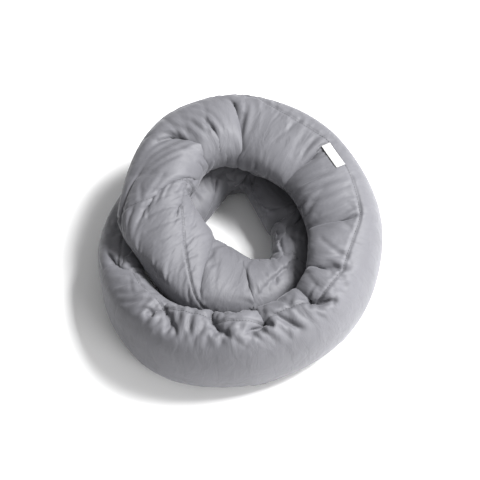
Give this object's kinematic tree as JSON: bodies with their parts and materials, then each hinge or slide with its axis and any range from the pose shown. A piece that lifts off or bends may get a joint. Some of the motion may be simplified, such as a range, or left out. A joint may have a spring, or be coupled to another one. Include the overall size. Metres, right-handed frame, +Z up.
{
  "type": "camp pillow",
  "caption": "Soft ring-shaped camp pillow: one long stuffed fabric tube, its ends joined with a half twist, wound twice into a ring with an open middle, with a small woven label.",
  "frame": {"origin": "middle of the footprint, on the ground the pillow lies on", "axes": "+Z up through the open middle of the ring; +Y towards the back, where the upper turn is highest; +X to the side with the label; the join lies at -X"},
  "size_m": [0.3663, 0.3909, 0.1312],
  "materials": {
    "cover": "smooth mid-grey sateen with a soft sheen",
    "filling": "white fibre wadding",
    "thread": "grey sewing thread",
    "label": "plain white woven satin tape"
  },
  "bodies": {
    "pillow": {"cover_panel": "cover", "fibre_fill": "filling", "long_seam_thread": "thread", "join_seam_thread": "thread"},
    "label": {"woven_label": "label"}
  },
  "joints": [
    {"name": "label_flap", "type": "hinge", "parent": "pillow", "child": "label", "pos_m": [0.12774, 0.08479, 0.12911], "axis": [-0.5151, 0.8567, 0.0278], "range_deg": [0, 85]}
  ]
}
